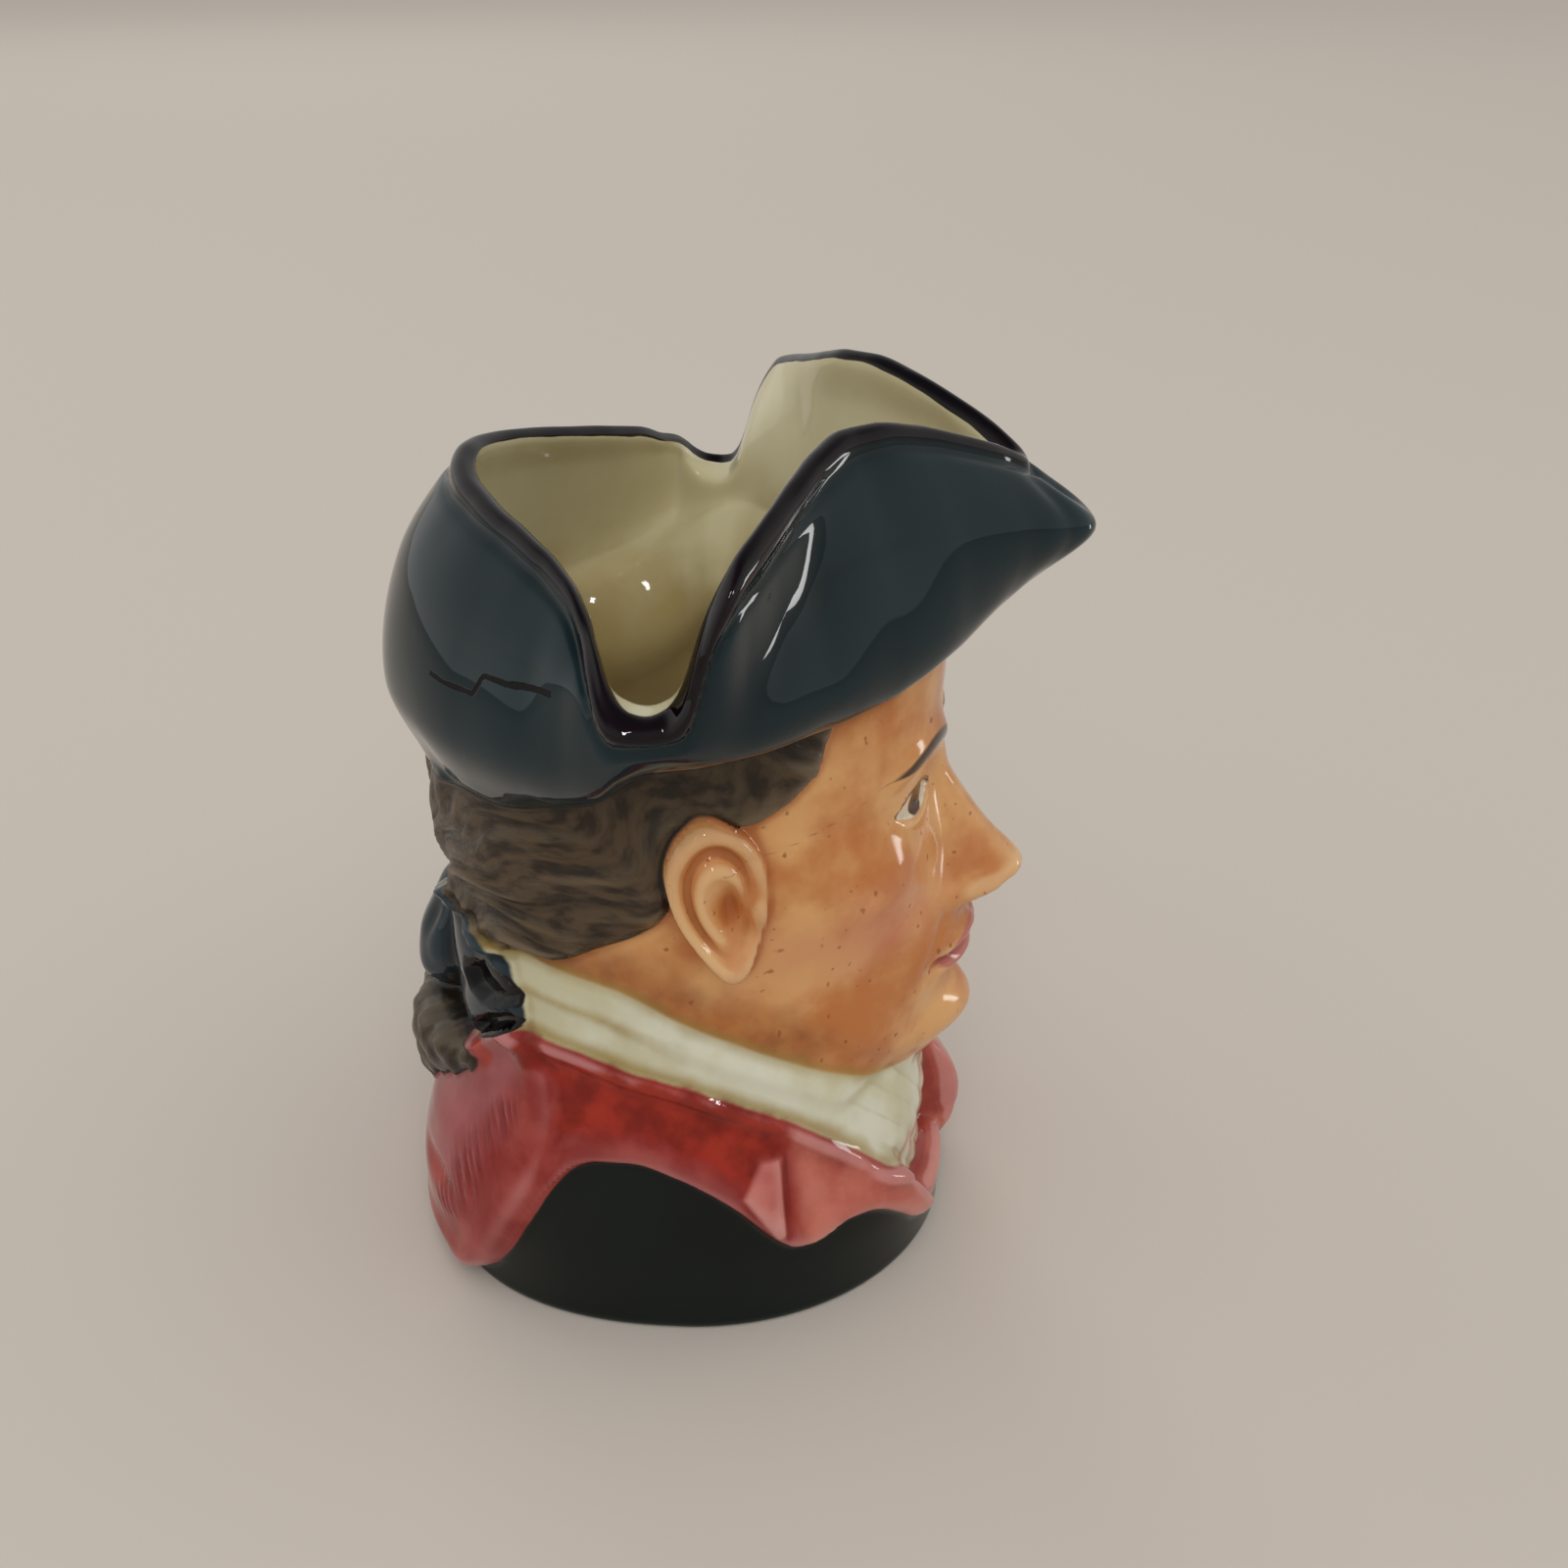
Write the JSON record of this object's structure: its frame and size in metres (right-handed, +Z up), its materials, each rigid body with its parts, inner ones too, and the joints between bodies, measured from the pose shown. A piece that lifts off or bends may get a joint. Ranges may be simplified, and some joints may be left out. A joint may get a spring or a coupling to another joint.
{
  "type": "character jug",
  "caption": "Glazed pottery jug moulded as a head in a three-cornered hat, with neckcloth, coat collar and tied hair; the turned-up brims form the open rim and a loop handle stands at the side.",
  "frame": {"origin": "centre of the flat underside, on the surface the jug stands on", "axes": "+Z up out of the mouth; the face looks towards -Y; the handle stands on +X, turned a little to the back"},
  "size_m": [0.144, 0.1341, 0.1756],
  "materials": {
    "glaze": "glossy hand-painted glaze: black hat, tan skin, grey-brown hair, off-white neckcloth, red coat collar over dark green, pale olive inside"
  },
  "bodies": {
    "root": {"jug": "glaze"}
  },
  "joints": []
}
